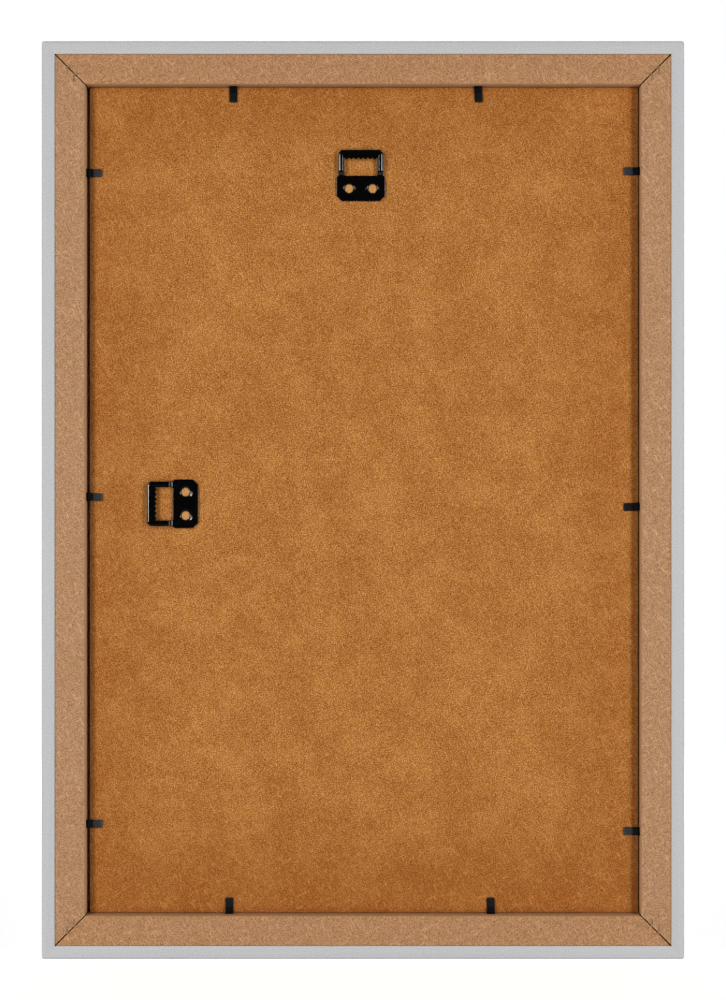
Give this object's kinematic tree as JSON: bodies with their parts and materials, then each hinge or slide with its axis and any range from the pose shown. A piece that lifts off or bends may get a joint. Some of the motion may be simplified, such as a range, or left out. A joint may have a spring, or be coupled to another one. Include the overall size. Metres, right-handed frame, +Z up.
{
  "type": "picture frame",
  "caption": "Back-loaded picture frame of mitred, foil-wrapped MDF rails with glazing, an insert, a hardboard back under bendable steel tabs, and sawtooth hangers for upright or sideways use.",
  "frame": {"origin": "the point on the wall where the hook of the upright hanger sits, on the frame's centre line", "axes": "+Z up as hung, +Y out of the back towards the wall, the picture faces -Y, +X to the right of a person who looks at the picture"},
  "size_m": [0.35, 0.018, 0.5],
  "materials": {
    "mdf_core": "raw medium density fibreboard, sanded, with fine fibres",
    "grey_foil": "smooth satin foil",
    "hardboard": "smooth brown hardboard, cloudy, with fine fibres",
    "glazing": "clear",
    "insert_paper": "plain uncoated",
    "hanger_steel": "gloss black",
    "tab_steel": "satin black",
    "nail_steel": "dull"
  },
  "bodies": {
    "frame": {"rail_top": "mdf_core", "rail_right": "mdf_core", "rail_bottom": "mdf_core", "rail_left": "mdf_core", "foil_top": "grey_foil", "foil_right": "grey_foil", "foil_bottom": "grey_foil", "foil_left": "grey_foil", "glazing_sheet": "glazing", "insert_sheet": "insert_paper", "backing_board": "hardboard", "hanger_portrait": "hanger_steel", "hanger_landscape": "hanger_steel", "corner_nail_top_right_outer": "nail_steel", "corner_nail_top_right_inner": "nail_steel", "corner_nail_bottom_right_outer": "nail_steel", "corner_nail_bottom_right_inner": "nail_steel", "corner_nail_bottom_left_outer": "nail_steel", "corner_nail_bottom_left_inner": "nail_steel", "corner_nail_top_left_outer": "nail_steel", "corner_nail_top_left_inner": "nail_steel", "tab_top_right_shank": "tab_steel", "tab_top_left_shank": "tab_steel", "tab_right_upper_shank": "tab_steel", "tab_right_middle_shank": "tab_steel", "tab_right_lower_shank": "tab_steel", "tab_bottom_right_shank": "tab_steel", "tab_bottom_left_shank": "tab_steel", "tab_left_lower_shank": "tab_steel", "tab_left_middle_shank": "tab_steel", "tab_left_upper_shank": "tab_steel"},
    "tab_top_right": {"tab_top_right_blade": "tab_steel"},
    "tab_top_left": {"tab_top_left_blade": "tab_steel"},
    "tab_right_upper": {"tab_right_upper_blade": "tab_steel"},
    "tab_right_middle": {"tab_right_middle_blade": "tab_steel"},
    "tab_right_lower": {"tab_right_lower_blade": "tab_steel"},
    "tab_bottom_right": {"tab_bottom_right_blade": "tab_steel"},
    "tab_bottom_left": {"tab_bottom_left_blade": "tab_steel"},
    "tab_left_lower": {"tab_left_lower_blade": "tab_steel"},
    "tab_left_middle": {"tab_left_middle_blade": "tab_steel"},
    "tab_left_upper": {"tab_left_upper_blade": "tab_steel"}
  },
  "joints": [
    {"name": "tab_top_right_bend", "type": "hinge", "parent": "frame", "child": "tab_top_right", "pos_m": [0.071, -0.0049, 0.0389], "axis": [1, 0, 0], "range_deg": [0, 90]},
    {"name": "tab_top_left_bend", "type": "hinge", "parent": "frame", "child": "tab_top_left", "pos_m": [-0.06302, -0.0049, 0.0389], "axis": [0.9982, 0, -0.0593], "range_deg": [0, 90]},
    {"name": "tab_right_upper_bend", "type": "hinge", "parent": "frame", "child": "tab_right_upper", "pos_m": [0.1511, -0.0049, -0.0082], "axis": [0, 0, -1], "range_deg": [0, 90]},
    {"name": "tab_right_middle_bend", "type": "hinge", "parent": "frame", "child": "tab_right_middle", "pos_m": [0.1511, -0.0049, -0.18532], "axis": [0.0523, 0, -0.9986], "range_deg": [0, 90]},
    {"name": "tab_right_lower_bend", "type": "hinge", "parent": "frame", "child": "tab_right_lower", "pos_m": [0.1511, -0.0049, -0.3645], "axis": [0, 0, -1], "range_deg": [0, 90]},
    {"name": "tab_bottom_right_bend", "type": "hinge", "parent": "frame", "child": "tab_bottom_right", "pos_m": [0.0732, -0.0049, -0.4133], "axis": [-1, 0, 0], "range_deg": [0, 90]},
    {"name": "tab_bottom_left_bend", "type": "hinge", "parent": "frame", "child": "tab_bottom_left", "pos_m": [-0.07009, -0.0049, -0.4133], "axis": [-0.9997, 0, 0.0262], "range_deg": [0, 90]},
    {"name": "tab_left_lower_bend", "type": "hinge", "parent": "frame", "child": "tab_left_lower", "pos_m": [-0.1511, -0.0049, -0.3685], "axis": [0, 0, 1], "range_deg": [0, 90]},
    {"name": "tab_left_middle_bend", "type": "hinge", "parent": "frame", "child": "tab_left_middle", "pos_m": [-0.1511, -0.0049, -0.19081], "axis": [0.0349, 0, 0.9994], "range_deg": [0, 90]},
    {"name": "tab_left_upper_bend", "type": "hinge", "parent": "frame", "child": "tab_left_upper", "pos_m": [-0.1511, -0.0049, -0.0072], "axis": [0, 0, 1], "range_deg": [0, 90]}
  ]
}
